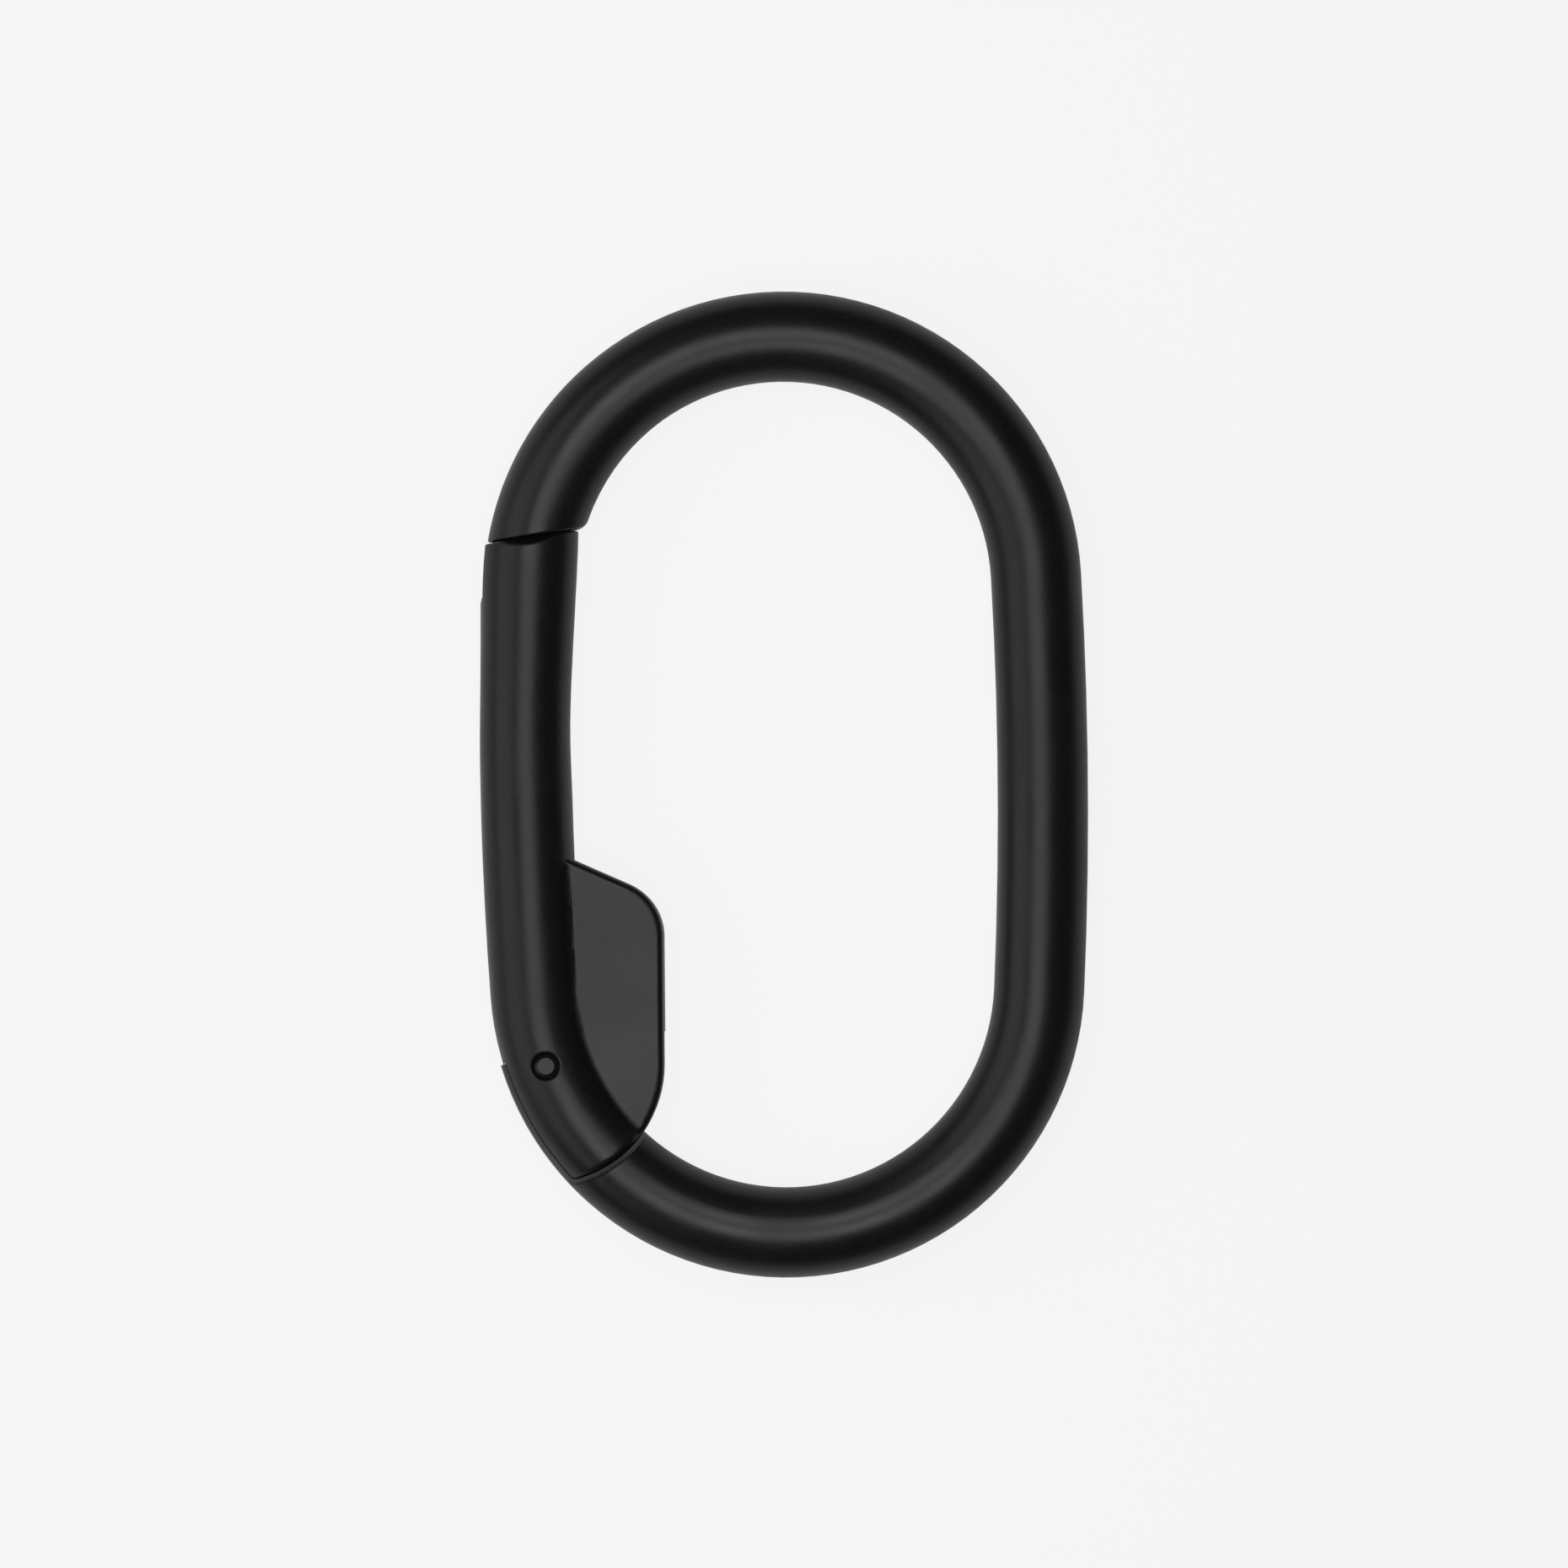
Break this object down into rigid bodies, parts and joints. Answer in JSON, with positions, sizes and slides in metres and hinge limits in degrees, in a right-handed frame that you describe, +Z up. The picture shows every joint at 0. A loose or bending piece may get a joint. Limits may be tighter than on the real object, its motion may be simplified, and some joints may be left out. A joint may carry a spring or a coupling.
{
  "type": "carabiner keyring",
  "caption": "Oval key carabiner with an inward-opening sprung gate, a finger fin on the gate and a slotted nose.",
  "frame": {"origin": "centre of the ring on the surface that it lies flat on; the middle plane of the bar is 2.91 mm above it", "axes": "+Y along the ring's length from the hinge end to the nose end, +X from the gate side to the solid side, +Z up out of the ring's plane"},
  "size_m": [0.0369, 0.06, 0.0058],
  "materials": {
    "frame_coating": "satin black coating with a very fine speckle",
    "gate_coating": "satin black coating with a very fine speckle",
    "pin_coating": "satin black coating, bevelled ends",
    "spring_wire": "bright drawn spring wire",
    "plunger_steel": "turned, lightly oiled"
  },
  "bodies": {
    "frame": {"frame": "frame_coating"},
    "gate": {"gate": "gate_coating", "hinge_pin": "pin_coating", "gate_spring": "spring_wire"},
    "plunger": {"spring_plunger": "plunger_steel"}
  },
  "joints": [
    {"name": "gate_hinge", "type": "hinge", "parent": "frame", "child": "gate", "pos_m": [-0.0146, -0.01695, 0.00291], "axis": [0, 0, -1], "range_deg": [0, 45], "stiffness_Nm_per_rad": 0.033, "springref_deg": -22.92},
    {"name": "plunger_slide", "type": "slide", "parent": "gate", "child": "plunger", "axis": [0, 1, 0], "range_m": [0, 0.0014], "deforming": ["gate_spring"]}
  ],
  "couplings": [
    {"joint": "plunger_slide", "follows": "gate_hinge", "m_per_rad": 0.00175}
  ]
}
